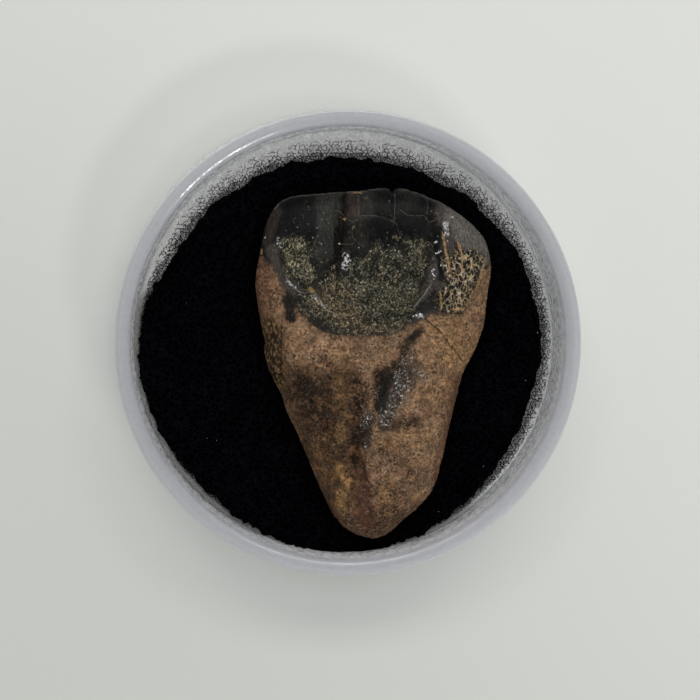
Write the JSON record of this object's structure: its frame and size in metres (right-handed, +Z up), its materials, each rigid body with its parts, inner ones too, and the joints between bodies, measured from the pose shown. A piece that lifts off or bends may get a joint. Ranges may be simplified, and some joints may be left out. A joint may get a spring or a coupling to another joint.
{
  "type": "fossil ceratopsian tooth in a display cup",
  "caption": "Fossil ceratopsian tooth with a dark worn crown and a brown tapering root, lying in the foam of a small round clear cup.",
  "frame": {"origin": "centre of the cup's underside, on the surface that it stands on", "axes": "+Z up out of the cup's mouth, +Y from the tooth's root tip to the worn edge of its crown, +X to the right seen from above"},
  "size_m": [0.038, 0.038, 0.0154],
  "materials": {
    "fossil_tooth": "mineralised enamel and dentine, glossy near-black crown and granular brown root",
    "black_foam": "open-cell foam, matt black, frayed at its edge",
    "white_foam": "open-cell foam, matt white",
    "clear_plastic": "clear moulded plastic with a faint lavender-grey cast and fine scuffs"
  },
  "bodies": {
    "root": {"tooth": "fossil_tooth", "black_foam_layer": "black_foam", "white_foam_layer": "white_foam", "display_cup": "clear_plastic"}
  },
  "joints": []
}
